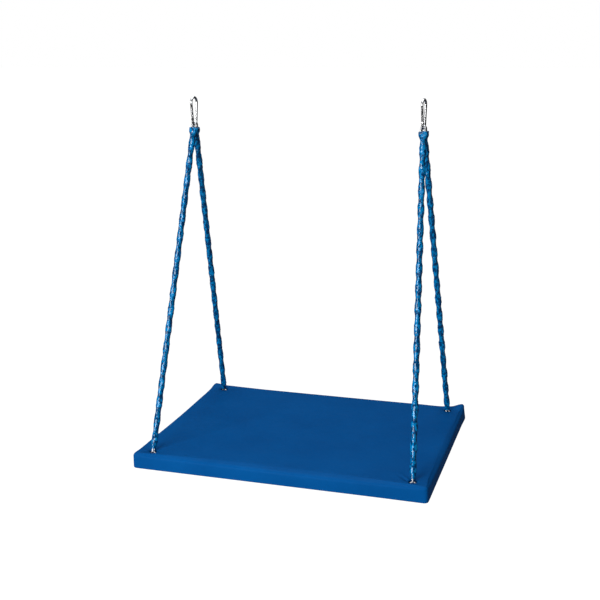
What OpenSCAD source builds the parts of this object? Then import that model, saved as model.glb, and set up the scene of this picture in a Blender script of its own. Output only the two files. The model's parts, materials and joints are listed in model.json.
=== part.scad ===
// Padded platform swing: a vinyl-covered plywood seat hung from two snap hooks by four
// sleeved chains. Millimetres. The origin is midway between the two hang points, where
// the load sits inside the top bend of each snap hook. +X runs along the seat's long
// side, +Y towards its back edge and +Z up.

/* [Seat] */
// Length of the seat along X
seat_w = 1016; // [820:2:1220]
// Depth of the seat along Y
seat_d = 762; // [600:2:920]
// Thickness of the plywood core
ply_t = 19; // [17:0.5:25]
// Thickness of the foam pad
foam_t = 29; // [26:0.5:40]
// Thickness of the vinyl cover
cover_t = 1; // [0.6:0.1:1.4]
// Plan radius of the seat's corners
corner_r = 12; // [6:0.5:40]
// Distance of each chain from the seat's short edge
chain_inset_x = 58; // [50:1:90]
// Distance of each chain from the seat's long edge
chain_inset_y = 45; // [40:1:90]

/* [Suspension] */
// Distance between the two hang points
hang_span = 798; // [640:2:980]
// Height of the hang points above the top of the seat
hang_drop = 1165; // [900:1:1500]
// Number of links in each chain, the end link included
link_count = 36; // [24:2:48]
// Diameter of the chain's wire
link_wire = 4.8; // [4.4:0.1:5]
// Clearance of a link's inside over the snap hook's wire
link_clear = 2; // [1.8:0.1:2.4]
// Wall thickness of the vinyl sleeve over each chain
sleeve_wall = 0.8; // [0.6:0.1:1.2]

/* [Snap hooks] */
// Overall height of a snap hook
hook_h = 100; // [92:1:120]
// Diameter of the snap hook's wire
hook_wire = 8; // [7.6:0.1:8.2]
// Overall width across the wide upper bend
hook_w = 42; // [38:0.5:50]
// Overall width across the narrow lower bend
hook_w_low = 30; // [29:0.5:34]
// Turn of the left hook about the vertical, from the fore-and-aft plane
left_hook_turn = 10; // [-12:1:12]
// Turn of the right hook about the vertical, from the fore-and-aft plane
right_hook_turn = 10; // [-12:1:12]

/* [Eyebolts] */
// Clear diameter inside an eye
eye_bore = 14; // [13.5:0.5:15]
// Diameter of the eye's wire
eye_wire = 6; // [5.6:0.1:6.4]
// Diameter of the threaded shank
shank_d = 8; // [6:0.5:8]

/* [Hidden] */
$fn = 48;

// Seat levels, downwards from the top of the cover
panel_t = 0.8;
seat_top = -hang_drop;
foam_top = seat_top - cover_t;
ply_top = foam_top - foam_t;
ply_low = ply_top - ply_t;
hem_low = ply_low - cover_t;
panel_low = hem_low - panel_t;
hem_w = 36;
panel_inset = 12;
bolt_x = seat_w / 2 - chain_inset_x;
bolt_y = seat_d / 2 - chain_inset_y;
corners = [for (x = [-1, 1]) for (y = [-1, 1]) [x, y]];

// Hardware stack at each eyebolt
washer_t = 1.6;
washer_r = 12;
collar_r = 7.5;
fender_t = 2;
fender_r = 14;
lock_t = 8;
nut_flats = 13 / 8 * shank_d;
sink_depth = fender_t + lock_t + 1;
sink_r = 16;
eye_r = (eye_bore + eye_wire) / 2;
eye_out_r = eye_r + eye_wire / 2;
eye_sink = 1.2;
eye_z = max(ply_top + washer_t + 0.2 + eye_out_r, foam_top - eye_sink - eye_out_r);
eye_top_z = eye_z + eye_r;

// Snap hook centreline, with its load point at the hook's own origin
hr = hook_wire / 2;
wide_r = hook_w / 2 - hr;
low_r = hook_w_low / 2 - hr;
wide_z = hr - wide_r;
low_z = 3 * hr - hook_h + low_r;
flare = asin((wide_r - low_r) / (wide_z - low_z));
side_l = (wide_z - low_z) * cos(flare);
tongue_t = 3;
slot_t = 3.6;
hinge_at = 9;
// The straight sides are a hair thinner than the bends and run a little way into them
side_r = hr - 0.02;
lap = 0.4;
latch_at = side_l - 9.2;
shoulder_at = side_l - 5.1;
gate_end = shoulder_at - 0.8;
rivet_r = 1.5;
pin_r = 1.2;

// Chain geometry: each leg runs from the hook's lower bend to the top of an eye
lr = link_wire / 2;
link_gap = hook_wire + link_clear;
hook_play = 1;
link_play = 0.35;
eye_play = 0.6;
// Offset of each end link along the hook's bend, and of each leg's line from the middle
link_spread = link_wire;
spread = link_wire;
spread_a = asin(link_spread / low_r);
wire_z = low_z - low_r * cos(spread_a);
hang_x = hang_span / 2;
eye_seat_z = eye_top_z;
function leg(side, end) = [side * (bolt_x - hang_x), end * (bolt_y - spread), eye_seat_z - wire_z];
leg_l = norm(leg(1, 1));
clear_l = (leg_l + hr + hook_play + eye_wire / 2 + eye_play + (link_count - 1) * link_play)
    / link_count;
pitch = clear_l - link_play;
link_r = link_gap / 2 + lr;
// The cover's holes pass the widest link at the leg's slope, and the foam's clear the eyes
slope = norm([bolt_x - hang_x, bolt_y - spread]) / abs(eye_seat_z - wire_z);
cover_hole_clear = 1.5;
cover_hole_r = (link_r + lr) * sqrt(1 + slope * slope) + slope * (seat_top - eye_top_z) + cover_hole_clear;
foam_hole_r = max(eye_out_r + 2.5, cover_hole_r + 1);
sleeve_from = clear_l + 4;
sleeve_to = leg_l - 13;

module put_hook(side, turn) translate([side * hang_x, 0, 0]) rotate([0, 0, 90 - turn]) children();

// Frame of the hook's gate side: Z runs up the gate from the end of the lower bend
module gate_frame() translate([-low_r * cos(flare), 0, low_z - low_r * sin(flare)])
    rotate([0, -flare, 0]) children();

module bend(r, wire_r, from, to) rotate([90, 0, 0])
    rotate([0, 0, from]) rotate_extrude(angle = to - from) translate([r, 0]) circle(wire_r);

module flat_tongue(t) rotate([90, 0, 0]) translate([0, 0, -t / 2]) linear_extrude(t) children();

module hook_body() {
    difference() {
        union() {
            translate([0, 0, wide_z]) bend(wide_r, hr, -flare, 180 + flare);
            translate([0, 0, low_z]) bend(low_r, hr, 180 + flare, 360 - flare);
            mirror([1, 0, 0]) gate_frame() translate([0, 0, -lap]) cylinder(h = side_l + 2 * lap, r = side_r);
            gate_frame() {
                translate([0, 0, -lap]) cylinder(h = 3.5 + lap, r = side_r);
                intersection() {
                    cylinder(h = hinge_at + hr, r = side_r - 0.02);
                    flat_tongue(tongue_t) {
                        translate([0, hinge_at]) circle(hr - 0.3);
                        translate([0.3 - hr, 2]) square([2 * hr - 0.6, hinge_at - 2]);
                    }
                }
                translate([0, 0, shoulder_at]) cylinder(h = side_l - shoulder_at + lap, r = side_r);
                flat_tongue(tongue_t) difference() {
                    translate([-2.9, latch_at - 3]) square([5.8, shoulder_at - latch_at + 4]);
                    translate([-pin_r - 0.4, latch_at - pin_r - 0.4]) square([6, 2 * pin_r + 0.8]);
                }
            }
        }
        gate_frame() translate([0, 0, hinge_at]) rotate([90, 0, 0])
            cylinder(h = 12, r = rivet_r, center = true);
    }
}

module gate_bar() gate_frame() difference() {
    intersection() {
        cylinder(h = gate_end, r = hr);
        flat_tongue(3 * hr) {
            translate([0, hinge_at]) circle(hr);
            translate([-hr, hinge_at]) square([2 * hr, gate_end - hinge_at]);
        }
    }
    translate([-2 * hr, -slot_t / 2, 0]) cube([4 * hr, slot_t, hinge_at + hr + 0.6]);
    translate([-2 * hr, -slot_t / 2, latch_at - 4.2]) cube([4 * hr, slot_t, 20]);
    translate([0, 0, hinge_at]) rotate([90, 0, 0]) cylinder(h = 12, r = rivet_r + 0.05, center = true);
    translate([0, 0, latch_at]) rotate([90, 0, 0]) cylinder(h = 12, r = pin_r, center = true);
    translate([0, 0, hinge_at + hr]) cylinder(h = 16, r = 1.6);
}

module gate_rivet() gate_frame() translate([0, 0, hinge_at]) rotate([90, 0, 0]) {
    cylinder(h = 2 * hr + 0.6, r = rivet_r, center = true);
    for (s = [-1, 1]) translate([0, 0, s * (hr + 0.6)]) cylinder(h = 0.7, r = 2.4, center = true);
}

module latch_pin() gate_frame() translate([0, 0, latch_at]) rotate([90, 0, 0])
    cylinder(h = 2 * hr - 0.3, r = pin_r, center = true);

module gate_spring() gate_frame() translate([0, 0, hinge_at + hr + 0.2]) difference() {
    cylinder(h = 14, r = 1.4);
    translate([0, 0, -1]) cylinder(h = 16, r = 0.8);
}

// One chain link standing in the XZ plane, its clear length centred on the origin
module chain_link() {
    straight = clear_l / 2 - link_gap / 2;
    for (s = [0, 180]) rotate([0, s, 0]) translate([0, 0, straight]) bend(link_r, lr, 0, 180);
    for (s = [-1, 1]) translate([s * link_r, 0, -straight]) cylinder(h = 2 * straight, r = lr);
}

// Turns its children's Z axis to point back along v, a unit vector that runs downwards
module up_from(v) rotate([asin(v[1]), atan2(-v[0], -v[2]), 0]) children();

// Places its children at a distance down one leg, with Z along the leg
function leg_start(side, end) = [side * hang_x, end * spread, wire_z];
module on_leg(side, end, at) {
    v = leg(side, end) / leg_l;
    translate(leg_start(side, end) + v * at) up_from(v) children();
}

// Distance from the hook's wire to the middle of link number i
function link_at(i) = -hr - hook_play + clear_l / 2 + i * pitch;

// The two links on a hook: each hangs from the bend and meets its own leg's second link
module end_link_pair(side, turn) for (end = [-1, 1]) {
    foot = leg_start(side, end) + leg(side, end) / leg_l * (clear_l - hr - hook_play + lr);
    head = [side * hang_x, 0, wire_z] + end * link_spread * [sin(turn), cos(turn), 0];
    v = (foot - head) / norm(foot - head);
    translate(foot - v * (clear_l / 2 + lr)) up_from(v) rotate([0, 0, -turn * 0.4]) chain_link();
}

module chain(side, end) for (i = [1 : link_count - 1])
    on_leg(side, end, link_at(i)) rotate([0, 0, 90 * (i % 2)]) chain_link();

module square_tube(half, round_r) {
    for (a = [0, 90]) rotate(a) square([2 * half, 2 * (half - round_r)], center = true);
    for (c = corners) translate(c * (half - round_r)) circle(round_r);
}

module sleeve(side, end) {
    inner_r = lr + 0.25;
    inner = link_r / sqrt(2) + inner_r + 0.05;
    on_leg(side, end, sleeve_to) rotate([0, 0, 45]) linear_extrude(sleeve_to - sleeve_from)
        difference() {
            square_tube(inner + sleeve_wall, inner_r + sleeve_wall);
            square_tube(inner, inner_r);
        }
}

module at_bolts() for (c = corners) translate([c[0] * bolt_x, c[1] * bolt_y, 0]) children();

module ring(z, h, r_out, r_in) translate([0, 0, z]) difference() {
    cylinder(h = h, r = r_out);
    translate([0, 0, -1]) cylinder(h = h + 2, r = r_in);
}

module hex_nut(z, h, flats, r_in) translate([0, 0, z]) difference() {
    cylinder(h = h, r = flats / sqrt(3), $fn = 6);
    translate([0, 0, -1]) cylinder(h = h + 2, r = r_in);
}

module slab(inset, z, h) {
    r = max(corner_r - inset, 2);
    x = seat_w / 2 - inset - r;
    y = seat_d / 2 - inset - r;
    translate([0, 0, z]) linear_extrude(h) {
        square([2 * (x + r), 2 * y], center = true);
        square([2 * x, 2 * (y + r)], center = true);
        for (c = corners) translate([c[0] * x, c[1] * y]) circle(r);
    }
}

module left_hook() color("silver") put_hook(-1, left_hook_turn) hook_body();
module right_hook() color("silver") put_hook(1, right_hook_turn) hook_body();
module left_gate() color("gainsboro") put_hook(-1, left_hook_turn) gate_bar();
module right_gate() color("gainsboro") put_hook(1, right_hook_turn) gate_bar();
module left_gate_rivet() color("dimgray") put_hook(-1, left_hook_turn) gate_rivet();
module right_gate_rivet() color("dimgray") put_hook(1, right_hook_turn) gate_rivet();
module left_latch_pin() color("dimgray") put_hook(-1, left_hook_turn) latch_pin();
module right_latch_pin() color("dimgray") put_hook(1, right_hook_turn) latch_pin();
module left_gate_spring() color("gray") put_hook(-1, left_hook_turn) gate_spring();
module right_gate_spring() color("gray") put_hook(1, right_hook_turn) gate_spring();

module left_end_links() color("lightgray") end_link_pair(-1, left_hook_turn);
module right_end_links() color("lightgray") end_link_pair(1, right_hook_turn);
module front_left_chain() color("lightgray") chain(-1, -1);
module back_left_chain() color("lightgray") chain(-1, 1);
module front_right_chain() color("lightgray") chain(1, -1);
module back_right_chain() color("lightgray") chain(1, 1);
module front_left_sleeve() color("deepskyblue") sleeve(-1, -1);
module back_left_sleeve() color("deepskyblue") sleeve(-1, 1);
module front_right_sleeve() color("deepskyblue") sleeve(1, -1);
module back_right_sleeve() color("deepskyblue") sleeve(1, 1);

module eyebolts() color("silver") at_bolts() {
    translate([0, 0, eye_z]) rotate([90, 0, 0])
        rotate_extrude() translate([eye_r, 0]) circle(eye_wire / 2);
    translate([0, 0, ply_low + 0.2]) cylinder(h = eye_z - eye_r - ply_low - 0.2, r = shank_d / 2);
    translate([0, 0, ply_top + washer_t]) cylinder(h = eye_wire * 0.6, r = collar_r);
}
module eye_washers() color("gainsboro") at_bolts() ring(ply_top, washer_t, washer_r, shank_d / 2);
module fender_washers() color("gainsboro") at_bolts()
    ring(ply_low + sink_depth - fender_t, fender_t, fender_r, shank_d / 2);
module lock_nuts() color("gainsboro") at_bolts()
    hex_nut(ply_low + sink_depth - fender_t - lock_t, lock_t, nut_flats, shank_d / 2);

module plywood_board() color("burlywood") difference() {
    slab(cover_t, ply_low, ply_t);
    at_bolts() translate([0, 0, ply_low - 1]) {
        cylinder(h = ply_t + 2, r = shank_d / 2 + 0.25);
        cylinder(h = sink_depth + 1, r = sink_r);
    }
}

module foam_pad() color("khaki") difference() {
    slab(cover_t, ply_top, foam_t);
    at_bolts() translate([0, 0, ply_top - 1]) cylinder(h = foam_t + 2, r = foam_hole_r);
}

module vinyl_cover() color("royalblue") difference() {
    slab(0, hem_low, seat_top - hem_low);
    slab(cover_t, ply_low, foam_top - ply_low);
    slab(hem_w, hem_low - 1, cover_t + 2);
    at_bolts() translate([0, 0, foam_top - 1]) cylinder(h = cover_t + 2, r = cover_hole_r);
}

module dust_panel() color("darkslategray") difference() {
    slab(panel_inset, panel_low, panel_t);
    at_bolts() translate([0, 0, panel_low - 1]) cylinder(h = panel_t + 2, r = 22);
}

// Staples through the dust panel and the hem into the plywood, in rows along each edge
module staple(a) rotate([0, 0, a]) {
    translate([-5, -0.5, panel_low - 0.5]) cube([10, 1, 0.5]);
    for (s = [-1, 1]) translate([s * 4.6 - 0.4, -0.5, panel_low]) cube([0.8, 1, 8]);
}
module staples() color("lightgray") {
    row = 22;
    nx = floor((seat_w - 2 * hem_w) / 68);
    ny = floor((seat_d - 2 * hem_w) / 68);
    for (s = [-1, 1]) {
        for (i = [0 : nx]) translate([(i - nx / 2) * 68, s * (seat_d / 2 - row), 0]) staple(0);
        for (i = [0 : ny]) translate([s * (seat_w / 2 - row), (i - ny / 2) * 68, 0]) staple(90);
    }
}

left_hook();
right_hook();
left_gate();
right_gate();
left_gate_rivet();
right_gate_rivet();
left_latch_pin();
right_latch_pin();
left_gate_spring();
right_gate_spring();
left_end_links();
right_end_links();
front_left_chain();
back_left_chain();
front_right_chain();
back_right_chain();
front_left_sleeve();
back_left_sleeve();
front_right_sleeve();
back_right_sleeve();
eyebolts();
eye_washers();
fender_washers();
lock_nuts();
plywood_board();
foam_pad();
vinyl_cover();
dust_panel();
staples();
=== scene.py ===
"""Looks of a padded platform swing: vinyl seat, sleeved chains, snap hooks and hardware."""

import json
import logging
import math
from dataclasses import dataclass, field
from enum import Enum

import bmesh
import bpy
import numpy as np
from mathutils import Matrix, Vector


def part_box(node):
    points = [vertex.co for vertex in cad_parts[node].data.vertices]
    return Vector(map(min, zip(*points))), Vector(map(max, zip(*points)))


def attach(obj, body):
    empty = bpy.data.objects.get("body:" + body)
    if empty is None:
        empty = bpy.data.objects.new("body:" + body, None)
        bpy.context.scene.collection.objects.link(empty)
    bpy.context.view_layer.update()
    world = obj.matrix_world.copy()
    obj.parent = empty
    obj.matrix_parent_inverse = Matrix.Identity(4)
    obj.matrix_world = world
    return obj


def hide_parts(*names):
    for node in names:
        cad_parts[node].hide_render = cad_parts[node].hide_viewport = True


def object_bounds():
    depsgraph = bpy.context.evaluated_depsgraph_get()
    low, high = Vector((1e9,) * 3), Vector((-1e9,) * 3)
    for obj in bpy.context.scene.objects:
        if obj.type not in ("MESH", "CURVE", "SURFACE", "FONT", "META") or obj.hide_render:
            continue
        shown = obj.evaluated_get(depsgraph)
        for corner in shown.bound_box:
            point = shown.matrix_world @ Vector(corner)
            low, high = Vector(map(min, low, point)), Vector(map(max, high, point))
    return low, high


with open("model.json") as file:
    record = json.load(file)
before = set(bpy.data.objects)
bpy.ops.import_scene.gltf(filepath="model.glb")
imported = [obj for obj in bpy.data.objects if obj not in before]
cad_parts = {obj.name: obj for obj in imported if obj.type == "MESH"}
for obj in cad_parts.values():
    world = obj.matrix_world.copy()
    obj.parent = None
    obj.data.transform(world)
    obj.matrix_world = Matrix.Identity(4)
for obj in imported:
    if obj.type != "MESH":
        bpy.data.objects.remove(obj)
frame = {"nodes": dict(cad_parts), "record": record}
CAD_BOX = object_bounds()

Colour = tuple[float, float, float]
Place = tuple[float, float]
Socket = bpy.types.NodeSocket
Node = bpy.types.Node
Faces = list[tuple[int, ...]]

logging.basicConfig(level=logging.INFO, format="%(name)s: %(message)s")
log = logging.getLogger("platform_swing")


class Side(Enum):
    """The seat's two short edges."""

    LEFT = -1
    RIGHT = 1


class End(Enum):
    """The seat's two long edges."""

    FRONT = -1
    BACK = 1


# Shader building


class Sketch:
    """A node tree being written, with short calls for the nodes it uses most."""

    def __init__(self, tree: bpy.types.NodeTree) -> None:
        """Keeps the tree.

        Args:
            tree: the material's or group's node tree.
        """
        self.tree = tree

    def node(self, kind: str, **settings: object) -> Node:
        """Adds a node.

        Args:
            kind: the node's type name.
            **settings: properties to set on it.

        Returns:
            The new node.
        """
        made = self.tree.nodes.new(kind)
        for key, value in settings.items():
            setattr(made, key, value)
        return made

    def feed(self, target: Socket, value: object) -> None:
        """Links a socket into target, or sets target's own value.

        Args:
            target: the input socket.
            value: a socket to link, or a constant.
        """
        if isinstance(value, bpy.types.NodeSocket):
            self.tree.links.new(value, target)
        else:
            target.default_value = value

    def math(self, operation: str, a: object, b: object = 0.0, clamp: bool = False) -> Socket:
        """Adds one arithmetic step.

        Args:
            operation: the Math node's operation.
            a: first socket or number.
            b: second socket or number.
            clamp: whether the result is held between 0 and 1.

        Returns:
            The result's socket.
        """
        made = self.node("ShaderNodeMath", operation=operation, use_clamp=clamp)
        self.feed(made.inputs[0], a)
        self.feed(made.inputs[1], b)
        return made.outputs[0]

    def remap(
        self, value: object, low: float, high: float, to_low: float = 0.0, to_high: float = 1.0
    ) -> Socket:
        """Maps a range onto another and clamps it.

        Args:
            value: socket to map.
            low: start of its range.
            high: end of its range.
            to_low: result at low.
            to_high: result at high.

        Returns:
            The mapped value's socket.
        """
        made = self.node("ShaderNodeMapRange")
        for index, item in enumerate((value, low, high, to_low, to_high)):
            self.feed(made.inputs[index], item)
        return made.outputs[0]

    def mix(self, factor: object, first: object, second: object) -> Socket:
        """Blends two colours.

        Args:
            factor: share of the second colour.
            first: socket or RGBA colour.
            second: socket or RGBA colour.

        Returns:
            The blended colour's socket.
        """
        made = self.node("ShaderNodeMix", data_type="RGBA")
        self.feed(made.inputs["Factor"], factor)
        self.feed(made.inputs[6], first)
        self.feed(made.inputs[7], second)
        return made.outputs[2]

    def place(self, scale: object = (1.0, 1.0, 1.0)) -> Socket:
        """Gives object coordinates, stretched.

        Args:
            scale: factor along each axis, or a vector socket.

        Returns:
            The coordinates' socket.
        """
        where = self.node("ShaderNodeTexCoord")
        scaled = self.node("ShaderNodeVectorMath", operation="MULTIPLY")
        self.feed(scaled.inputs[0], where.outputs["Object"])
        self.feed(scaled.inputs[1], scale)
        return scaled.outputs[0]

    def noise(self, where: Socket, scale: object, detail: float = 4.0, rough: float = 0.55) -> Socket:
        """Adds a noise texture.

        Args:
            where: coordinates.
            scale: socket or number.
            detail: octaves.
            rough: strength of the finer octaves.

        Returns:
            The noise value's socket.
        """
        made = self.node("ShaderNodeTexNoise")
        self.feed(made.inputs["Vector"], where)
        self.feed(made.inputs["Scale"], scale)
        made.inputs["Detail"].default_value = detail
        made.inputs["Roughness"].default_value = rough
        return made.outputs[0]


class Effects:
    """Surface effects that several finishes share, each a node group built once."""

    def __init__(self) -> None:
        """Builds every group."""
        self.wear_and_sheen = self._wear_and_sheen_edges()
        self.grain = self._fine_grain()
        self.dust = self._settled_dust()

    @staticmethod
    def _group(
        name: str, inputs: dict[str, tuple[str, object]], outputs: dict[str, str]
    ) -> tuple[bpy.types.NodeTree, Sketch, Node, Node]:
        """Starts a node group with named sockets.

        Args:
            name: the group's name.
            inputs: socket kind and starting value by name.
            outputs: socket kind by name.

        Returns:
            The tree, a sketch of it, and its input and output nodes.
        """
        tree = bpy.data.node_groups.new(name, "ShaderNodeTree")
        for key, (kind, value) in inputs.items():
            tree.interface.new_socket(key, in_out="INPUT", socket_type=kind).default_value = value
        for key, kind in outputs.items():
            tree.interface.new_socket(key, in_out="OUTPUT", socket_type=kind)
        sketch = Sketch(tree)
        return tree, sketch, sketch.node("NodeGroupInput"), sketch.node("NodeGroupOutput")

    def _wear_and_sheen_edges(self) -> bpy.types.NodeTree:
        """Rubbed edges on metal, and a painted highlight along the cover's rounded edges: strong where the
        surface turns outwards, broken up by noise.
        """
        tree, sk, source, sink = self._group(
            "wear_and_sheen_edges",
            {"Scale": ("NodeSocketFloat", 180.0), "Start": ("NodeSocketFloat", 0.52)},
            {"Mask": "NodeSocketFloat"},
        )
        shape = sk.node("ShaderNodeNewGeometry")
        rise = sk.math("SUBTRACT", shape.outputs["Pointiness"], source.outputs["Start"])
        edge = sk.math("MULTIPLY", rise, 14.0, clamp=True)
        patch = sk.remap(sk.noise(sk.place(), source.outputs["Scale"]), 0.42, 0.62)
        sk.feed(sink.inputs["Mask"], sk.math("MULTIPLY", edge, patch, clamp=True))
        return tree

    def _fine_grain(self) -> bpy.types.NodeTree:
        """Fine scratches or pores along a chosen stretch, with broad smears over them."""
        tree, sk, source, sink = self._group(
            "fine_grain",
            {"Scale": ("NodeSocketFloat", 900.0), "Stretch": ("NodeSocketVector", (1.0, 1.0, 0.1))},
            {"Height": "NodeSocketFloat", "Smear": "NodeSocketFloat"},
        )
        where = sk.place(source.outputs["Stretch"])
        fine = sk.noise(where, source.outputs["Scale"], 3.0, 0.6)
        broad = sk.noise(sk.place(), sk.math("MULTIPLY", source.outputs["Scale"], 0.06), 4.0, 0.6)
        sk.feed(sink.inputs["Height"], fine)
        sk.feed(sink.inputs["Smear"], sk.remap(broad, 0.35, 0.7))
        return tree

    def _settled_dust(self) -> bpy.types.NodeTree:
        """Dust that lies on upward faces, in soft patches."""
        tree, sk, source, sink = self._group(
            "settled_dust",
            {"Scale": ("NodeSocketFloat", 30.0), "Cover": ("NodeSocketFloat", 0.3)},
            {"Mask": "NodeSocketFloat"},
        )
        shape = sk.node("ShaderNodeNewGeometry")
        split = sk.node("ShaderNodeSeparateXYZ")
        sk.feed(split.inputs[0], shape.outputs["Normal"])
        up = sk.remap(split.outputs[2], 0.2, 1.0)
        patch = sk.remap(sk.noise(sk.place(), source.outputs["Scale"], 6.0, 0.65), 0.4, 0.75)
        lying = sk.math("MULTIPLY", up, patch)
        sk.feed(sink.inputs["Mask"], sk.math("MULTIPLY", lying, source.outputs["Cover"], clamp=True))
        return tree

    @staticmethod
    def put(sketch: Sketch, tree: bpy.types.NodeTree, **values: object) -> Node:
        """Places a group in a material with its own values.

        Args:
            sketch: the material's sketch.
            tree: the group.
            **values: its inputs by name.

        Returns:
            The group's node.
        """
        made = sketch.node("ShaderNodeGroup")
        made.node_tree = tree
        for key, value in values.items():
            sketch.feed(made.inputs[key], value)
        return made


def start_material(name: str) -> tuple[bpy.types.Material, Sketch, Node]:
    """Makes a material with an empty Principled shader.

    Args:
        name: the material's name.

    Returns:
        The material, a sketch of its nodes and the shader node.
    """
    made = bpy.data.materials.new(name)
    made.use_nodes = True
    made.node_tree.nodes.clear()
    sketch = Sketch(made.node_tree)
    shader = sketch.node("ShaderNodeBsdfPrincipled")
    sketch.feed(sketch.node("ShaderNodeOutputMaterial").inputs["Surface"], shader.outputs[0])
    return made, sketch, shader


def add_bump(sketch: Sketch, shader: Node, height: Socket, depth: float, strength: float = 1.0) -> None:
    """Raises the surface by a height texture.

    Args:
        sketch: the material's sketch.
        shader: the Principled node.
        height: the texture's value.
        depth: height in metres at a value of 1.
        strength: share of the effect.
    """
    bump = sketch.node("ShaderNodeBump")
    bump.inputs["Strength"].default_value = strength
    bump.inputs["Distance"].default_value = depth
    sketch.feed(bump.inputs["Height"], height)
    sketch.feed(shader.inputs["Normal"], bump.outputs["Normal"])


@dataclass(frozen=True)
class MetalFinish:
    """A bare or plated metal: its colour, polish, grain and rubbed edges."""

    name: str
    base: Colour
    rubbed_and_sheen: Colour
    roughness: float
    grain_scale: float = 900.0
    stretch: Colour = (1.0, 1.0, 0.12)
    mottle: float = 0.15
    depth: float = 0.00002

    def build(self, effects: Effects) -> bpy.types.Material:
        """Makes the material.

        Args:
            effects: the shared groups.

        Returns:
            The finished material.
        """
        made, sk, shader = start_material(self.name)
        grain = effects.put(sk, effects.grain, Scale=self.grain_scale, Stretch=self.stretch)
        wear_and_sheen = effects.put(sk, effects.wear_and_sheen, Scale=240.0, Start=0.53)
        dulled = tuple(c * (1 - self.mottle) for c in self.base)
        plain = sk.mix(grain.outputs["Smear"], (*self.base, 1), (*dulled, 1))
        sk.feed(shader.inputs["Base Color"], sk.mix(wear_and_sheen.outputs["Mask"], plain, (*self.rubbed_and_sheen, 1)))
        rough = sk.remap(grain.outputs["Smear"], 0.0, 1.0, self.roughness * 0.75, self.roughness * 1.5)
        sk.feed(shader.inputs["Roughness"], rough)
        shader.inputs["Metallic"].default_value = 1.0
        add_bump(sk, shader, grain.outputs["Height"], self.depth)
        return made


@dataclass(frozen=True)
class CoverVinylFinish:
    """Backed upholstery vinyl: a fine pebbled grain over soft creases, with a painted highlight along its
    rounded edges.
    """

    name: str
    base: Colour
    shade: Colour
    roughness: float
    pebble: float = 0.0011

    def build(self, effects: Effects) -> bpy.types.Material:
        """Makes the material.

        Args:
            effects: the shared groups.

        Returns:
            The finished material.
        """
        made, sk, shader = start_material(self.name)
        cells = sk.node("ShaderNodeTexVoronoi", feature="DISTANCE_TO_EDGE")
        sk.feed(cells.inputs["Vector"], sk.place())
        cells.inputs["Scale"].default_value = 1.0 / self.pebble
        grain = effects.put(sk, effects.grain, Scale=420.0, Stretch=(1.0, 1.0, 1.0))
        dust = effects.put(sk, effects.dust, Scale=14.0, Cover=0.002)
        # Painted highlight: the pointiness mask below lightens the cover's rounded edges towards a paler
        # blue, standing in for the sheen along the top edge; it is not wear.
        wear_and_sheen = effects.put(sk, effects.wear_and_sheen, Scale=60.0, Start=0.52)
        tone = sk.mix(sk.remap(sk.noise(sk.place(), 5.0, 5.0), 0.35, 0.7), (*self.base, 1), (*self.shade, 1))
        rubbed_and_sheen = sk.mix(sk.math("MULTIPLY", wear_and_sheen.outputs["Mask"], 0.5), tone, (0.004, 0.14, 0.42, 1))
        sk.feed(shader.inputs["Base Color"], sk.mix(dust.outputs["Mask"], rubbed_and_sheen, (0.45, 0.5, 0.55, 1)))
        rough = sk.remap(grain.outputs["Smear"], 0.0, 1.0, self.roughness * 0.85, self.roughness * 1.2)
        sk.feed(shader.inputs["Roughness"], rough)
        shader.inputs["Specular IOR Level"].default_value = 0.04
        shader.inputs["Specular Tint"].default_value = (0.35, 0.65, 1.0, 1)
        pebbles = sk.remap(cells.outputs["Distance"], 0.0, 0.35)
        soft = sk.math("MULTIPLY", sk.noise(sk.place(), 22.0, 3.0), 2.2)
        add_bump(sk, shader, sk.math("ADD", pebbles, soft), 0.00006)
        return made


@dataclass(frozen=True)
class SleeveVinylFinish:
    """Glossy clear-tinted tube vinyl with fine folds and a little haze, and painted shade darkening its
    concave creases.
    """

    name: str
    base: Colour
    deep: Colour
    roughness: float
    clear: float

    def build(self, effects: Effects) -> bpy.types.Material:
        """Makes the material.

        Args:
            effects: the shared groups.

        Returns:
            The finished material.
        """
        made, sk, shader = start_material(self.name)
        grain = effects.put(sk, effects.grain, Scale=260.0, Stretch=(1.0, 1.0, 0.5))
        folds = sk.noise(sk.place((1.0, 1.0, 0.35)), 150.0, 3.0, 0.5)
        blotch = sk.remap(sk.noise(sk.place((1.0, 1.0, 0.6)), 120.0, 4.0, 0.65), 0.45, 0.53)
        # Painted shade: concave folds (low pointiness) are darkened towards the deep colour as if shadowed
        # between the links; the noise blotches add random darker tone.
        shape = sk.node("ShaderNodeNewGeometry")
        crevice_shade = sk.remap(shape.outputs["Pointiness"], 0.500, 0.480)
        blotch_and_crevice_shade = sk.math("ADD", sk.math("MULTIPLY", blotch, 0.85), crevice_shade, clamp=True)
        sk.feed(shader.inputs["Base Color"], sk.mix(blotch_and_crevice_shade, (*self.base, 1), (*self.deep, 1)))
        rough = sk.remap(grain.outputs["Smear"], 0.0, 1.0, self.roughness * 0.7, self.roughness * 1.6)
        sk.feed(shader.inputs["Roughness"], rough)
        shader.inputs["IOR"].default_value = 1.46
        shader.inputs["Transmission Weight"].default_value = self.clear
        shader.inputs["Specular Tint"].default_value = (0.35, 0.75, 1.0, 1)
        shader.inputs["Coat Weight"].default_value = 0.5
        shader.inputs["Coat Roughness"].default_value = 0.05
        add_bump(sk, shader, folds, 0.0022, 0.9)
        return made


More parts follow.
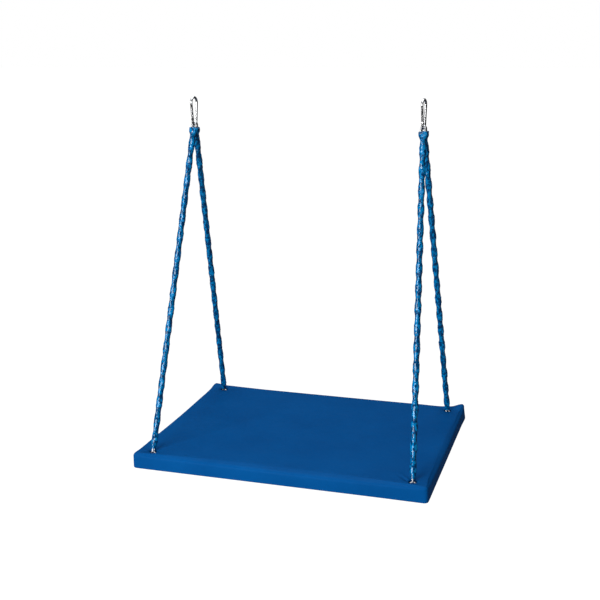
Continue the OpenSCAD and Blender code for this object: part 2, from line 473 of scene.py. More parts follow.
@dataclass(frozen=True)
class PlywoodFinish:
    """Birch plywood: long face grain and plies along the edges."""

    name: str
    light: Colour
    dark: Colour
    ply: float = 0.0024

    def build(self, effects: Effects) -> bpy.types.Material:
        """Makes the material.

        Args:
            effects: the shared groups.

        Returns:
            The finished material.
        """
        made, sk, shader = start_material(self.name)
        grain = effects.put(sk, effects.grain, Scale=60.0, Stretch=(0.05, 1.0, 1.0))
        figure = sk.noise(sk.place((0.6, 7.0, 1.0)), 3.2, 6.0, 0.6)
        face = sk.mix(sk.remap(figure, 0.35, 0.7), (*self.light, 1), (*self.dark, 1))
        split = sk.node("ShaderNodeSeparateXYZ")
        sk.feed(split.inputs[0], sk.place())
        layer = sk.math("FRACT", sk.math("DIVIDE", split.outputs[2], 2 * self.ply))
        shape = sk.node("ShaderNodeNewGeometry")
        facing = sk.node("ShaderNodeSeparateXYZ")
        sk.feed(facing.inputs[0], shape.outputs["Normal"])
        edge = sk.math("LESS_THAN", sk.math("ABSOLUTE", facing.outputs[2]), 0.5)
        plies = sk.math("MULTIPLY", sk.math("GREATER_THAN", layer, 0.5), edge)
        sk.feed(shader.inputs["Base Color"], sk.mix(sk.math("MULTIPLY", plies, 0.6), face, (*self.dark, 1)))
        sk.feed(shader.inputs["Roughness"], sk.remap(grain.outputs["Height"], 0.3, 0.7, 0.55, 0.8))
        add_bump(sk, shader, grain.outputs["Height"], 0.0003, 0.6)
        return made


@dataclass(frozen=True)
class ClothFinish:
    """Black woven bottoming cloth: warp and weft threads with loose fluff."""

    name: str
    thread: Colour
    gap: Colour
    pitch: float = 0.0016

    def build(self, effects: Effects) -> bpy.types.Material:
        """Makes the material.

        Args:
            effects: the shared groups.

        Returns:
            The finished material.
        """
        made, sk, shader = start_material(self.name)
        split = sk.node("ShaderNodeSeparateXYZ")
        sk.feed(split.inputs[0], sk.place())
        turn = 2 * math.pi / self.pitch
        warp = sk.math("SINE", sk.math("MULTIPLY", split.outputs[0], turn))
        weft = sk.math("SINE", sk.math("MULTIPLY", split.outputs[1], turn))
        weave = sk.math("MULTIPLY", warp, weft)
        height = sk.math("ADD", sk.math("MULTIPLY", weave, 0.5), 0.5)
        grain = effects.put(sk, effects.grain, Scale=500.0, Stretch=(1.0, 1.0, 1.0))
        fluff = sk.math("MULTIPLY", grain.outputs["Height"], 0.5)
        shown = sk.math("ADD", fluff, sk.math("MULTIPLY", height, 0.5))
        sk.feed(shader.inputs["Base Color"], sk.mix(shown, (*self.gap, 1), (*self.thread, 1)))
        sk.feed(shader.inputs["Roughness"], sk.remap(grain.outputs["Height"], 0.3, 0.7, 0.8, 0.95))
        add_bump(sk, shader, height, 0.0003)
        return made


# Mesh building


def make_piece(name: str, points: np.ndarray, faces: Faces, body: str) -> bpy.types.Object:
    """Makes a smooth-shaded mesh object that rides on a body.

    Args:
        name: the piece's name.
        points: vertex places in metres.
        faces: vertex numbers of each face.
        body: the CAD body it moves with.

    Returns:
        The linked object.
    """
    mesh = bpy.data.meshes.new(name)
    mesh.from_pydata([tuple(p) for p in points], [], faces)
    mesh.validate()
    mesh.shade_smooth()
    made = bpy.data.objects.new(name, mesh)
    bpy.context.scene.collection.objects.link(made)
    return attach(made, body)


def read_points(target: bpy.types.Object) -> np.ndarray:
    """Gives an object's vertex places as rows."""
    flat = np.empty(len(target.data.vertices) * 3)
    target.data.vertices.foreach_get("co", flat)
    return flat.reshape(-1, 3)


def write_points(target: bpy.types.Object, points: np.ndarray) -> None:
    """Moves an object's vertices to the given places."""
    target.data.vertices.foreach_set("co", points.ravel())
    target.data.update()


def graded_lines(half: float, bolt: float, block: float, cells: int, coarse: float) -> np.ndarray:
    """Spaces grid lines evenly, with a finer block round each bolt.

    Args:
        half: half length of the grid.
        bolt: distance of the bolts from the middle.
        block: half width of the fine block.
        cells: fine cells in half a block.
        coarse: wanted spacing elsewhere.

    Returns:
        Rising line places from -half to half.
    """
    marks = [-half, -bolt - block, -bolt + block, bolt - block, bolt + block, half]
    lines: list[float] = [-half]
    for index, (start, stop) in enumerate(zip(marks, marks[1:])):
        count = 2 * cells if index in (1, 3) else max(1, round((stop - start) / coarse))
        lines += list(np.linspace(start, stop, count + 1)[1:])
    return np.array(lines)


@dataclass
class HoledGrid:
    """A flat grid with four round holes, each eased out to the square grid round it."""

    half_x: float
    half_y: float
    bolt_x: float
    bolt_y: float
    hole_r: float
    block: float
    cells: int
    hole_cells: int
    coarse: float
    points: list[Vector] = field(default_factory=list)
    faces: Faces = field(default_factory=list)
    border: list[tuple[int, int, int]] = field(default_factory=list)
    rims: dict[tuple[int, int], list[int]] = field(default_factory=dict)

    def build(self, z: float) -> None:
        """Fills in the points, faces, border loop and hole rims.

        Args:
            z: the grid's height.
        """
        xs = graded_lines(self.half_x, self.bolt_x, self.block, self.cells, self.coarse)
        ys = graded_lines(self.half_y, self.bolt_y, self.block, self.cells, self.coarse)
        numbers = -np.ones((len(xs), len(ys)), int)
        centres = {}
        for sx in (-1, 1):
            for sy in (-1, 1):
                nearest_x = int(np.argmin(abs(xs - sx * self.bolt_x)))
                nearest_y = int(np.argmin(abs(ys - sy * self.bolt_y)))
                centres[(sx, sy)] = (nearest_x, nearest_y)
        for i, x in enumerate(xs):
            for j, y in enumerate(ys):
                place = Vector((x, y, z))
                keep = True
                for (sx, sy), (ci, cj) in centres.items():
                    a, b = i - ci, j - cj
                    ring = max(abs(a), abs(b))
                    if ring < self.hole_cells:
                        keep = False
                    elif ring < self.cells:
                        centre = Vector((sx * self.bolt_x, sy * self.bolt_y, z))
                        place = self._eased(centre, a, b, ring, place)
                if keep:
                    numbers[i, j] = len(self.points)
                    self.points.append(place)
        for i in range(len(xs) - 1):
            for j in range(len(ys) - 1):
                quad = (numbers[i, j], numbers[i + 1, j], numbers[i + 1, j + 1], numbers[i, j + 1])
                if min(quad) >= 0:
                    self.faces.append(tuple(int(n) for n in quad))
        nx, ny = len(xs) - 1, len(ys) - 1
        walk = [(i, 0) for i in range(nx)] + [(nx, j) for j in range(ny)]
        walk += [(i, ny) for i in range(nx, 0, -1)] + [(0, j) for j in range(ny, 0, -1)]
        self.border = [(int(numbers[i, j]), i, j) for i, j in walk]
        k = self.hole_cells
        steps = [(a, -k) for a in range(-k, k)] + [(k, b) for b in range(-k, k)]
        steps += [(a, k) for a in range(k, -k, -1)] + [(-k, b) for b in range(k, -k, -1)]
        for key, (ci, cj) in centres.items():
            self.rims[key] = [int(numbers[ci + a, cj + b]) for a, b in steps]

    def _eased(self, centre: Vector, a: int, b: int, ring: int, square: Vector) -> Vector:
        """Moves one point of a block between a circle and its square place.

        Args:
            centre: the hole's centre.
            a: steps from the centre along X.
            b: steps from the centre along Y.
            ring: the larger of the two.
            square: the point's place in the plain grid.

        Returns:
            The eased place.
        """
        if abs(a) == ring:
            angle = math.pi / 4 * b / a + (0 if a > 0 else math.pi)
        else:
            angle = math.pi / 2 - math.pi / 4 * a / b + (0 if b > 0 else math.pi)
        share = (ring - self.hole_cells) / (self.cells - self.hole_cells)
        radius = self.hole_r + (self.block - self.hole_r) * share
        circle = centre + radius * Vector((math.cos(angle), math.sin(angle), 0))
        return circle.lerp(square, share * share)


def grow_ring(points: list[Vector], faces: Faces, loop: list[int], ring: list[Vector]) -> list[int]:
    """Adds a closed ring of points and the band of faces that joins it to a loop.

    Args:
        points: the mesh's points, added to.
        faces: the mesh's faces, added to.
        loop: numbers of the loop to start from.
        ring: places of the new points, one for each number in the loop.

    Returns:
        The new points' numbers.
    """
    first = len(points)
    points.extend(ring)
    count = len(loop)
    new = list(range(first, first + count))
    for k in range(count):
        n = (k + 1) % count
        faces.append((loop[k], new[k], new[n], loop[n]))
    return new


@dataclass
class Seat:
    """The padded seat: its vinyl cover over foam, the board, the dust cloth and hardware."""

    bolt_x: float = 0.450
    bolt_y: float = 0.336
    corner_r: float = 0.012
    edge_r: float = 0.010
    fold_r: float = 0.004
    hem: float = 0.036
    hole_r: float = 0.0133
    thick: float = 0.0009
    grid_inset: float = 0.016
    # Radius and depth below the top of each ring down a well's wall
    well: tuple[Place, ...] = (
        (0.0131, 0.0015), (0.0131, 0.004), (0.0138, 0.008), (0.0148, 0.014), (0.0151, 0.021), (0.0151, 0.0285)
    )
    arc_steps: int = 6
    puff: float = 0.003
    ears: dict[tuple[Side, End], float] = field(default_factory=lambda: {
        (Side.LEFT, End.FRONT): 0.0020,
        (Side.LEFT, End.BACK): 0.0075,
        (Side.RIGHT, End.FRONT): 0.0015,
        (Side.RIGHT, End.BACK): 0.0175,
    })

    def corner_loop(self, grid: HoledGrid, inset: float, z: float) -> list[Vector]:
        """Gives one ring of the cover's edge, rounded at its corners.

        Args:
            grid: the top's grid, whose border it matches.
            inset: distance in from the seat's outline.
            z: the ring's height.

        Returns:
            The ring's places: one for each border point and arc_steps + 1 at each corner.
        """
        _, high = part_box("vinyl_cover")
        radius = max(self.corner_r - inset, 0.002)
        cx, cy = high.x - inset - radius, high.y - inset - radius
        ring: list[Vector] = []
        starts = {(-1, -1): 180, (1, -1): 270, (1, 1): 0, (-1, 1): 90}
        for number, _, _ in grid.border:
            place = grid.points[number]
            sx = 0 if abs(place.x) < grid.half_x - 1e-6 else int(math.copysign(1, place.x))
            sy = 0 if abs(place.y) < grid.half_y - 1e-6 else int(math.copysign(1, place.y))
            if sx and sy:
                for step in range(self.arc_steps + 1):
                    angle = math.radians(starts[(sx, sy)] + 90 * step / self.arc_steps)
                    x = sx * cx + radius * math.cos(angle)
                    y = sy * cy + radius * math.sin(angle)
                    ring.append(Vector((x, y, z)))
            elif sy:
                ring.append(Vector((place.x * cx / grid.half_x, sy * (cy + radius), z)))
            else:
                ring.append(Vector((sx * (cx + radius), place.y * cy / grid.half_y, z)))
        return ring

    def build_cover(self) -> bpy.types.Object:
        """Builds the cover: top, rounded edge, sides, folded hem and four wells.

        Returns:
            The cover, not yet puffed.
        """
        low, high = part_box("vinyl_cover")
        half_x, half_y = high.x - self.grid_inset, high.y - self.grid_inset
        grid = HoledGrid(half_x, half_y, self.bolt_x, self.bolt_y, self.hole_r, 0.026, 6, 3, 0.0078)
        top = high.z - 0.001
        grid.build(top)
        points, faces = grid.points, grid.faces
        loop: list[int] = []
        first = self.corner_loop(grid, 0.0125, top)
        cursor = len(points)
        points.extend(first)
        rows: list[tuple[int, list[int]]] = []
        for number, _, _ in grid.border:
            place = points[number]
            corner = abs(abs(place.x) - grid.half_x) < 1e-6 and abs(abs(place.y) - grid.half_y) < 1e-6
            count = self.arc_steps + 1 if corner else 1
            rows.append((number, list(range(cursor, cursor + count))))
            cursor += count
        for index, (number, made) in enumerate(rows):
            following, next_made = rows[(index + 1) % len(rows)]
            for a, b in zip(made, made[1:]):
                faces.append((number, a, b))
            faces.append((number, made[-1], next_made[0], following))
            loop += made
        height = high.z - low.z - 0.001
        profile = [(0.0112, 0.0)]
        for step in range(7):
            angle = math.pi / 2 * step / 6
            profile.append((self.edge_r * (1 - math.sin(angle)), self.edge_r * (1 - math.cos(angle))))
        profile += [(0.0, d) for d in np.linspace(self.edge_r, height - self.fold_r, 8)[1:]]
        for step in range(1, 5):
            angle = math.pi / 2 * step / 4
            depth = height - self.fold_r * (1 - math.sin(angle))
            profile.append((self.fold_r * (1 - math.cos(angle)), depth))
        profile += [(x, height) for x in (0.010, 0.019, 0.028, self.hem)]
        for inset_now, depth in profile:
            loop = grow_ring(points, faces, loop, self.corner_loop(grid, inset_now, top - depth))
        for (sx, sy), rim in grid.rims.items():
            centre = Vector((sx * self.bolt_x, sy * self.bolt_y, 0))
            ring = rim
            for radius, depth in self.well:
                made = []
                for number in rim:
                    out = (Vector((points[number].x, points[number].y, 0)) - centre).normalized()
                    made.append(centre + out * radius + Vector((0, 0, top - depth)))
                ring = grow_ring(points, faces, ring, made)
        cover = make_piece("seat_cover", np.array(points), faces, "platform")
        shell = bmesh.new()
        shell.from_mesh(cover.data)
        bmesh.ops.recalc_face_normals(shell, faces=shell.faces)
        middles = {face: face.calc_center_median() for face in shell.faces}
        uppermost = max(shell.faces, key=lambda face: middles[face].z - 10 * middles[face].xy.length)
        if uppermost.normal.z < 0:
            bmesh.ops.reverse_faces(shell, faces=shell.faces)
        shell.to_mesh(cover.data)
        shell.free()
        return cover

    def inflate(self, cover: bpy.types.Object) -> None:
        """Presses the cover out from inside with a short cloth run, held at hem and wells.

        Args:
            cover: the cover, changed in place.
        """
        low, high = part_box("vinyl_cover")
        rest = read_points(cover)
        held = cover.vertex_groups.new(name="held")
        wells = np.hypot(np.abs(rest[:, 0]) - self.bolt_x, np.abs(rest[:, 1]) - self.bolt_y)
        fixed = (rest[:, 2] < low.z + 0.007) | (wells < self.hole_r + 0.003)
        held.add([int(n) for n in np.nonzero(fixed)[0]], 1.0, "REPLACE")
        cloth = cover.modifiers.new("press", "CLOTH")
        cloth.settings.vertex_group_mass = "held"
        cloth.settings.quality = 4
        cloth.settings.mass = 0.4
        cloth.settings.tension_stiffness = 25
        cloth.settings.compression_stiffness = 25
        cloth.settings.shear_stiffness = 12
        cloth.settings.bending_stiffness = 8
        cloth.settings.use_pressure = True
        cloth.settings.uniform_pressure_force = 4
        cloth.settings.effector_weights.gravity = 0
        cloth.collision_settings.use_collision = False
        cloth.point_cache.frame_start = 1
        cloth.point_cache.frame_end = 20
        scene = bpy.context.scene
        for number in range(1, 21):
            scene.frame_set(number)
        shaped = cover.evaluated_get(bpy.context.evaluated_depsgraph_get())
        moved = read_points(shaped)
        cover.modifiers.remove(cloth)
        scene.frame_set(1)
        shift = moved - rest
        for axis, reach in ((0, high.x), (1, high.y)):
            side = np.abs(rest[:, axis]) > reach - 0.0045
            outward = np.sign(rest[:, axis])
            shift[side, axis] = outward[side] * np.maximum(outward[side] * shift[side, axis], 0)
        length = np.linalg.norm(shift, axis=1, keepdims=True)
        shift *= self.puff * np.tanh(length / self.puff) / np.maximum(length, 1e-9)
        write_points(cover, rest + shift)
        log.info("cover pressed out by up to %.1f mm", 1000 * float(np.linalg.norm(shift, axis=1).max()))

    def settle(self, cover: bpy.types.Object) -> None:
        """Shapes what tension does to the vinyl: dimples, full corners, a slack edge and creases.

        Args:
            cover: the cover, changed in place.
        """
        low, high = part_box("vinyl_cover")
        p = read_points(cover)
        x, y, z = p[:, 0], p[:, 1], p[:, 2]
        upper = np.clip((z - low.z - 0.012) / 0.03, 0, 1)
        lift = np.zeros(len(p))
        for side in Side:
            for end in End:
                cx, cy = side.value * self.bolt_x, end.value * self.bolt_y
                r = np.hypot(x - cx, y - cy)
                angle = np.arctan2(y - cy, x - cx)
                phase = 1.3 * side.value + 2.1 * end.value
                near = np.exp(-np.clip(r - self.hole_r, 0, None) / 0.011)
                lift -= 0.0032 * near
                fold = np.exp(-np.clip(r - self.hole_r, 0, None) / 0.026)
                fold = fold * np.clip((r - self.hole_r) / 0.006, 0, 1)
                lift += 0.0006 * fold * np.cos(5 * angle + phase)
                lift += 0.0004 * fold * np.cos(9 * angle - 2 * phase)
                rise = self.ears[(side, end)]
                ear = np.hypot((x - side.value * high.x) / 0.034, (y - end.value * high.y) / 0.042)
                lift += rise * np.exp(-ear ** 2)
        edge = np.exp(-((x - low.x) / 0.045) ** 2) * np.cos(math.pi * np.clip(y / 0.72, -0.5, 0.5)) ** 2
        lift -= 0.0042 * edge
        lift += 0.0006 * np.sin(x * 9 + 1.0) * np.cos(y * 11 + 0.4)
        dip = np.exp(-((x - 0.405) / 0.05) ** 2 - ((y - high.y) / 0.03) ** 2)
        lift -= 0.0026 * dip
        lift += self.crease(x, y, (0.441, -0.349), (0.384, -0.296), 0.0030, 0.0055)
        lift += self.crease(x, y, (0.428, -0.318), (0.396, -0.270), 0.0010, 0.0080)
        lift += self.crease(x, y, (-0.432, -0.322), (-0.385, -0.292), 0.0012, 0.0070)
        p[:, 2] += lift * upper
        belly = np.sin(np.clip((z - low.z) / (high.z - low.z), 0, 1) * math.pi)
        along_front = (np.abs(y) > high.y - 0.010) & (np.abs(x) < high.x - 0.02)
        along_side = (np.abs(x) > high.x - 0.010) & (np.abs(y) < high.y - 0.02)
        pleat_y = np.cos(2 * math.pi * x / 0.068) * np.clip(1 - (z - low.z) / 0.03, 0, 1)
        pleat_x = np.cos(2 * math.pi * y / 0.068 + 1.0) * np.clip(1 - (z - low.z) / 0.03, 0, 1)
        ends_x = np.clip((high.x - np.abs(x)) / 0.08, 0, 1)
        ends_y = np.clip((high.y - np.abs(y)) / 0.08, 0, 1)
        out_y = 0.0004 + belly * ends_x * (0.0011 + 0.0007 * np.sin(7.0 * x + 0.6) + 0.0004 * pleat_y)
        out_x = 0.0004 + belly * ends_y * (0.0011 + 0.0007 * np.sin(8.0 * y + 2.1) + 0.0004 * pleat_x)
        rim = np.minimum(high.x - np.abs(x), high.y - np.abs(y))
        rolled = np.clip(1 - rim / 0.014, 0, 1) * np.clip(1 - (z - low.z) / 0.010, 0, 1)
        from_front_right = np.hypot((x - high.x) / 0.12, (y + high.y) / 0.12)
        p[:, 2] -= rolled * (0.0032 + 0.0012 * np.exp(-from_front_right ** 2))
        flare = np.exp(-((y - high.y) / 0.055) ** 2)
        flare *= np.clip((high.z - z) / 0.04, 0, 1) * np.clip((z - low.z) / 0.006, 0, 1)
        p[:, 0] += np.where(x > high.x - 0.014, 0.0055 * flare, 0)
        p[:, 1] += np.where(along_front, np.sign(y) * out_y, 0)
        p[:, 0] += np.where(along_side, np.sign(x) * out_x, 0)
        write_points(cover, p)

    @staticmethod
    def crease(
        x: np.ndarray, y: np.ndarray, start: Place, stop: Place, depth: float, width: float
    ) -> np.ndarray:
        """Gives a pulled crease: a valley with a soft ridge on each side, deepest at its start.

        Args:
            x: points' places along X.
            y: points' places along Y.
            start: the crease's deep end.
            stop: where it fades out.
            depth: depth of the valley.
            width: half width of the valley.

        Returns:
            The change in height at each point.
        """
        a, b = np.array(start), np.array(stop)
        reach = float(np.linalg.norm(b - a))
        along = ((x - a[0]) * (b - a)[0] + (y - a[1]) * (b - a)[1]) / reach
        across = ((x - a[0]) * (b - a)[1] - (y - a[1]) * (b - a)[0]) / reach
        fade = np.clip((along + 0.012) / 0.012, 0, 1) * np.clip(1 - along / reach, 0, 1) ** 0.8
        ridges = np.exp(-((np.abs(across) - 2.1 * width) / width) ** 2)
        valley = np.exp(-(across / width) ** 2) - 0.45 * ridges
        return -depth * fade * valley

    def build_dust_cloth(self) -> bpy.types.Object:
        """Builds the cloth under the board, pulled flat and hanging slightly between its staples.

        Returns:
            The cloth.
        """
        _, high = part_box("dust_panel")
        grid = HoledGrid(high.x, high.y, self.bolt_x, self.bolt_y, 0.022, 0.030, 6, 4, 0.011)
        grid.build(high.z - 0.0002)
        p = np.array(grid.points)
        slack = np.clip(1 - (p[:, 0] / 0.47) ** 2, 0, 1) * np.clip(1 - (p[:, 1] / 0.345) ** 2, 0, 1)
        p[:, 2] -= 0.0045 * slack ** 1.5 + 0.0005 * slack * np.sin(p[:, 0] * 31) * np.cos(p[:, 1] * 27)
        faces = [tuple(reversed(f)) for f in grid.faces]
        cloth = make_piece("dust_cloth", p, faces, "platform")
        thicken = cloth.modifiers.new("thickness", "SOLIDIFY")
        thicken.thickness = 0.0005
        thicken.offset = 0.0
        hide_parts("dust_panel")
        return cloth

    def build(self, finishes: dict[str, bpy.types.Material]) -> None:
        """Builds and dresses the seat.

        Args:
            finishes: materials by slot name.
        """
        cover = self.build_cover()
        self.inflate(cover)
        self.settle(cover)
        thicken = cover.modifiers.new("thickness", "SOLIDIFY")
        thicken.thickness = self.thick
        thicken.offset = -1.0
        smooth = cover.modifiers.new("smooth", "SUBSURF")
        smooth.levels = smooth.render_levels = 1
        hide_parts("vinyl_cover", "foam_pad")
        cover.data.materials.append(finishes["cover_vinyl"])
        log.info("seat_cover: %d points", len(cover.data.vertices))
        cloth = self.build_dust_cloth()
        cloth.data.materials.append(finishes["dust_cloth"])
        log.info("dust_cloth: %d points", len(cloth.data.vertices))


@dataclass
class Leg:
    """One chain's vinyl sleeve, which bulges over each link and closes in between them."""

    side: Side
    end: End
    hang_x: float = 0.399
    spread: float = 0.0048
    wire_z: float = -0.086897
    bolt_x: float = 0.450
    bolt_y: float = 0.336
    eye_top_z: float = -1.1702
    pitch: float = 0.031728
    first_link: float = 0.011039
    top_at: float = 0.012
    bottom_gap: float = 0.0095
    wide: float = 0.0110
    narrow: float = 0.0083
    wall: float = 0.0008
    ring_gap: float = 0.0026
    notch_depth: float = 0.0005
    notch_width: float = 0.0022
    mouth_x: float = 0.0150
    mouth_y: float = 0.0062
    mouth_end: float = 0.042
    mouth_ease: float = 0.022
    segments: int = 24

    @property
    def start(self) -> np.ndarray:
        """Where the leg's line leaves the hook's wire."""
        return np.array([self.side.value * self.hang_x, self.end.value * self.spread, self.wire_z])

    @property
    def span(self) -> np.ndarray:
        """The leg's line from the hook's wire to the top of the eye."""
        across = self.side.value * (self.bolt_x - self.hang_x)
        along = self.end.value * (self.bolt_y - self.spread)
        return np.array([across, along, self.eye_top_z - self.wire_z])

    def half_width(self, away: np.ndarray) -> np.ndarray:
        """Gives the sleeve's half width at a distance from the middle of a link that is wide this way."""
        t = np.clip((away - 0.009) / 0.019, 0, 1)
        return self.wide - (self.wide - self.narrow) * t * t * (3 - 2 * t)

    @staticmethod
    def crumple(angle: float, at: float, phases: np.ndarray) -> float:
        """Gives the height of the tube's sharp wrinkles at one point.

        Args:
            angle: the point's angle round the tube.
            at: its distance down the leg.
            phases: this sleeve's own starting angles.

        Returns:
            The height outwards, in metres.
        """
        slow = 1 - abs(math.sin(1.5 * angle + at * 83 + phases[0, 0]))
        slanted = 1 - abs(math.sin(angle - at * 131 + phases[1, 0]))
        quick = 1 - abs(math.sin(at * 205 + angle + phases[2, 0]))
        height = 0.00060 * slow * (1 + math.sin(at * 57 + phases[0, 1])) + 0.00070 * slanted
        return height + 0.00055 * quick * (1 + math.cos(at * 39 + phases[2, 1]))

    def build(self, finish: bpy.types.Material) -> bpy.types.Object:
        """Builds the sleeve and dresses it.

        Args:
            finish: the sleeve vinyl.

        Returns:
            The sleeve.
        """
        name = f"{self.end.name.lower()}_{self.side.name.lower()}_sleeve"
        length = float(np.linalg.norm(self.span))
        v = self.span / length
        a, b = math.asin(v[1]), math.atan2(-v[0], -v[2])
        ax = np.array([math.cos(b), 0, -math.sin(b)])
        ay = np.array([math.sin(a) * math.sin(b), math.cos(a), math.sin(a) * math.cos(b)])
        s = np.arange(self.top_at, length - self.bottom_gap, self.ring_gap)
        away = np.abs((s - self.first_link + self.pitch) % (2 * self.pitch) - self.pitch)
        notch = self.notch_depth * np.exp(-((away - self.pitch / 2) / self.notch_width) ** 2)
        half_x, half_y = self.half_width(away) - notch, self.half_width(self.pitch - away) - notch
        mouth = np.clip((self.mouth_end - s) / self.mouth_ease, 0, 1)
        half_x = half_x + (self.mouth_x - half_x) * mouth * (3 - 2 * mouth) * mouth
        half_y = half_y + (self.mouth_y - half_y) * mouth * (3 - 2 * mouth) * mouth
        rng = np.random.default_rng(17 + self.side.value * 3 + self.end.value)
        phases = rng.uniform(0, 2 * math.pi, (6, 2))
        points, faces, loop = [], [], []
        for index, at in enumerate(s):
            centre = self.start + v * at
            for k in range(self.segments):
                angle = 2 * math.pi * k / self.segments
                ripple = self.crumple(angle, at, phases)
                ex, ey = half_x[index] + ripple * 0.6, half_y[index] + ripple
                points.append(centre + ax * ex * math.cos(angle) + ay * ey * math.sin(angle))
            ring = list(range(index * self.segments, (index + 1) * self.segments))
            for k in range(self.segments if loop else 0):
                n = (k + 1) % self.segments
                faces.append((loop[k], ring[k], ring[n], loop[n]))
            loop = ring
        if self._inward(points, faces, self.start + v * s[0]):
            faces = [tuple(reversed(f)) for f in faces]
        sleeve = make_piece(name + "_vinyl", np.array(points), faces, f"{self.side.name.lower()}_legs")
        thicken = sleeve.modifiers.new("wall", "SOLIDIFY")
        thicken.thickness = self.wall
        thicken.offset = -1.0
        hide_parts(name)
        sleeve.data.materials.append(finish)
        log.info("%s: %d points", sleeve.name, len(points))
        return sleeve

    @staticmethod
    def _inward(points: list[np.ndarray], faces: Faces, middle: np.ndarray) -> bool:
        """Tells whether the first face points towards the sleeve's own line."""
        a, b, c = (points[n] for n in faces[0][:3])
        return float(np.dot(np.cross(b - a, c - a), a - middle)) < 0


@dataclass
class Hardware:
    """The steel parts, whose CAD shapes stay and get their finishes."""

    slots: dict[str, str] = field(default_factory=dict)

    def dress(self, finishes: dict[str, bpy.types.Material]) -> None:
        """Gives every CAD node that still shows the finish of its material slot.

        Args:
            finishes: materials by slot name.
        """
        for entry in frame["record"]["subparts"]:
            self.slots[entry["node"]] = entry.get("material_slot") or entry.get("slot")
        for name, node in frame["nodes"].items():
            if node.hide_render:
                continue
            slot = self.slots[name]
            node.data.materials.clear()
            node.data.materials.append(finishes[slot])
            log.info("%s: %s", name, slot)


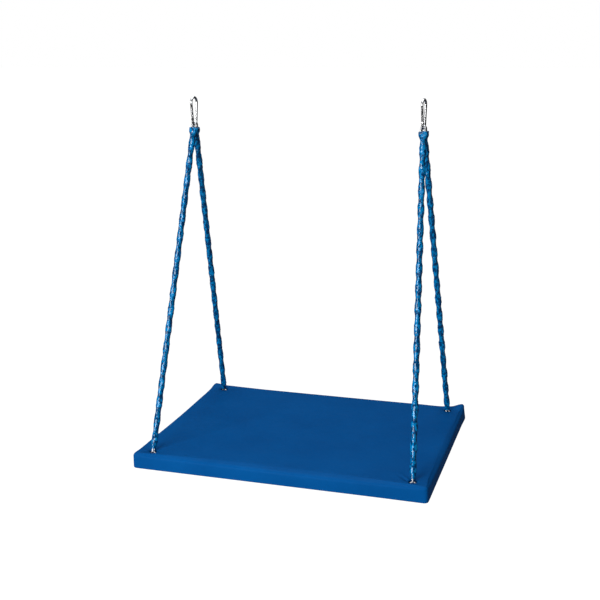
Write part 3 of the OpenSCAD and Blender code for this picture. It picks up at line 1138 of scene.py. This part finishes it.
@dataclass
class Studio:
    """A pale floor, soft lights and the camera."""

    place: tuple[float, float, float] = (1.02203, -3.36045, 0.20762)
    target: tuple[float, float, float] = (-0.0240, 0.0, -0.6880)
    roll: float = math.radians(-0.491)
    lens: float = 62.47
    floor_half: float = 60.0
    floor_drop: float = 0.60
    floor_glow: float = 1.17
    floor_share: float = 0.86
    even_fill: float = 0.20

    def build_camera(self) -> None:
        """Sets the camera up and makes it the scene's own."""
        data = bpy.data.cameras.new("studio_camera")
        data.lens = self.lens
        data.sensor_width = 36.0
        data.clip_end = 200.0
        camera = bpy.data.objects.new("studio_camera", data)
        bpy.context.scene.collection.objects.link(camera)
        ahead = (Vector(self.target) - Vector(self.place)).normalized()
        level = ahead.cross(Vector((0, 0, 1))).normalized()
        right = level * math.cos(self.roll) + level.cross(ahead) * math.sin(self.roll)
        up = right.cross(ahead)
        turned = Matrix((right, up, -ahead)).transposed().to_4x4()
        camera.matrix_world = Matrix.Translation(self.place) @ turned
        bpy.context.scene.camera = camera

    def build_floor(self) -> None:
        """Lays a wide pale floor under the swing."""
        mesh = bpy.data.meshes.new("floor")
        size = self.floor_half
        z = CAD_BOX[0][2] - self.floor_drop
        ends = [(-size, -size, z), (size, -size, z), (size, size, z), (-size, size, z)]
        mesh.from_pydata(ends, [], [(0, 1, 2, 3)])
        floor = bpy.data.objects.new("floor", mesh)
        bpy.context.scene.collection.objects.link(floor)
        made, sk, shader = start_material("floor_paint")
        shader.inputs["Base Color"].default_value = (0.60, 0.60, 0.60, 1)
        shader.inputs["Roughness"].default_value = 0.9
        glow = sk.node("ShaderNodeEmission")
        glow.inputs[1].default_value = self.floor_glow
        ray = sk.node("ShaderNodeLightPath")
        blended, shown = sk.node("ShaderNodeMixShader"), sk.node("ShaderNodeMixShader")
        sk.feed(blended.inputs[0], sk.math("MULTIPLY", ray.outputs["Is Camera Ray"], self.floor_share))
        sk.feed(blended.inputs[1], shader.outputs[0])
        sk.feed(blended.inputs[2], glow.outputs[0])
        # What shines on the swing sees a dark floor, so the vinyl keeps its colour
        dark = sk.node("ShaderNodeEmission")
        dark.inputs[1].default_value = 0.02
        sk.feed(shown.inputs[0], sk.math("MULTIPLY", ray.outputs["Is Glossy Ray"], 0.9))
        sk.feed(shown.inputs[1], blended.outputs[0])
        sk.feed(shown.inputs[2], dark.outputs[0])
        out = next(n for n in made.node_tree.nodes if n.bl_idname == "ShaderNodeOutputMaterial")
        sk.feed(out.inputs["Surface"], shown.outputs[0])
        mesh.materials.append(made)

    def add_light(self, name: str, place: tuple[float, float, float], size: float, power: float) -> None:
        """Adds a square soft light aimed at the swing.

        Args:
            name: the light's name.
            place: where it stands.
            size: its width in metres.
            power: its power in watts.
        """
        data = bpy.data.lights.new(name, "AREA")
        data.energy = power
        data.size = size
        lamp = bpy.data.objects.new(name, data)
        lamp.location = place
        lamp.rotation_euler = (Vector((0, 0, -0.9)) - Vector(place)).to_track_quat("-Z", "Y").to_euler()
        bpy.context.scene.collection.objects.link(lamp)

    def build(self) -> None:
        """Sets up the whole studio."""
        self.build_camera()
        self.build_floor()
        world = bpy.data.worlds.new("studio")
        bpy.context.scene.world = world
        world.use_nodes = True
        world.node_tree.nodes.clear()
        sk = Sketch(world.node_tree)
        ray = sk.node("ShaderNodeLightPath")
        split = sk.node("ShaderNodeSeparateXYZ")
        sk.feed(split.inputs[0], sk.node("ShaderNodeTexCoord").outputs["Generated"])
        ceiling = sk.remap(split.outputs[2], 0.45, 0.75, 0.02, 1.1)
        even = sk.math("MULTIPLY", ray.outputs["Is Diffuse Ray"], self.even_fill)
        shining = sk.math("MULTIPLY", ray.outputs["Is Glossy Ray"], ceiling)
        amount = sk.math("ADD", even, shining)
        white, fill = sk.node("ShaderNodeBackground"), sk.node("ShaderNodeBackground")
        white.inputs[0].default_value = (1, 1, 1, 1)
        white.inputs[1].default_value = 1.0
        fill.inputs[0].default_value = (0.93, 0.96, 1.0, 1)
        sk.feed(fill.inputs[1], amount)
        choose = sk.node("ShaderNodeMixShader")
        sk.feed(choose.inputs[0], ray.outputs["Is Camera Ray"])
        sk.feed(choose.inputs[1], fill.outputs[0])
        sk.feed(choose.inputs[2], white.outputs[0])
        sk.feed(sk.node("ShaderNodeOutputWorld").inputs[0], choose.outputs[0])
        self.add_light("key", (-1.6, -4.2, 0.4), 2.8, 235.0)
        self.add_light("top", (-0.4, 0.3, 2.6), 2.4, 78.0)
        bpy.context.scene.view_settings.view_transform = "Standard"


def make_finishes(effects: Effects) -> dict[str, bpy.types.Material]:
    """Makes every material.

    Args:
        effects: the shared groups.

    Returns:
        Materials by slot name.
    """
    steel, zinc = (0.78, 0.79, 0.80), (0.70, 0.71, 0.73)
    plated = {"grain_scale": 500.0, "stretch": (1.0, 1.0, 1.0), "mottle": 0.3, "depth": 0.00004}
    finishes = {
        "hook_steel": MetalFinish("polished_hook_steel", steel, (0.92, 0.92, 0.92), 0.14),
        "gate_steel": MetalFinish("polished_gate_steel", (0.72, 0.73, 0.75), (0.9, 0.9, 0.9), 0.18),
        "pin_steel": MetalFinish("pin_steel", (0.55, 0.55, 0.56), (0.8, 0.8, 0.8), 0.3),
        "spring_steel": MetalFinish("spring_steel", (0.4, 0.4, 0.42), (0.7, 0.7, 0.7), 0.35),
        "chain_zinc": MetalFinish("bright_zinc_chain", zinc, (0.85, 0.85, 0.86), 0.26, **plated),
        "zinc_hardware": MetalFinish("zinc_hardware", (0.66, 0.67, 0.68), (0.82, 0.82, 0.82), 0.3, **plated),
        "plywood": PlywoodFinish("birch_plywood", (0.62, 0.43, 0.25), (0.42, 0.26, 0.13)),
        "cover_vinyl": CoverVinylFinish("seat_vinyl", (0.0008, 0.070, 0.250), (0.0006, 0.060, 0.220), 0.45),
        # The sleeve's deep colour serves both its random blotches and the painted shade in its folds.
        "sleeve_vinyl": SleeveVinylFinish("sleeve_vinyl", (0.0, 0.19, 0.47), (0.0, 0.010, 0.070), 0.12, 0.05),
        "dust_cloth": ClothFinish("woven_dust_cloth", (0.03, 0.03, 0.033), (0.006, 0.006, 0.007)),
    }
    return {slot: finish.build(effects) for slot, finish in finishes.items()}


def main() -> None:
    """Builds the swing's looks and the studio."""
    finishes = make_finishes(Effects())
    Seat().build(finishes)
    for side in Side:
        for end in End:
            Leg(side, end).build(finishes["sleeve_vinyl"])
    Hardware().dress(finishes)
    Studio().build()


if __name__ == "__main__":
    main()
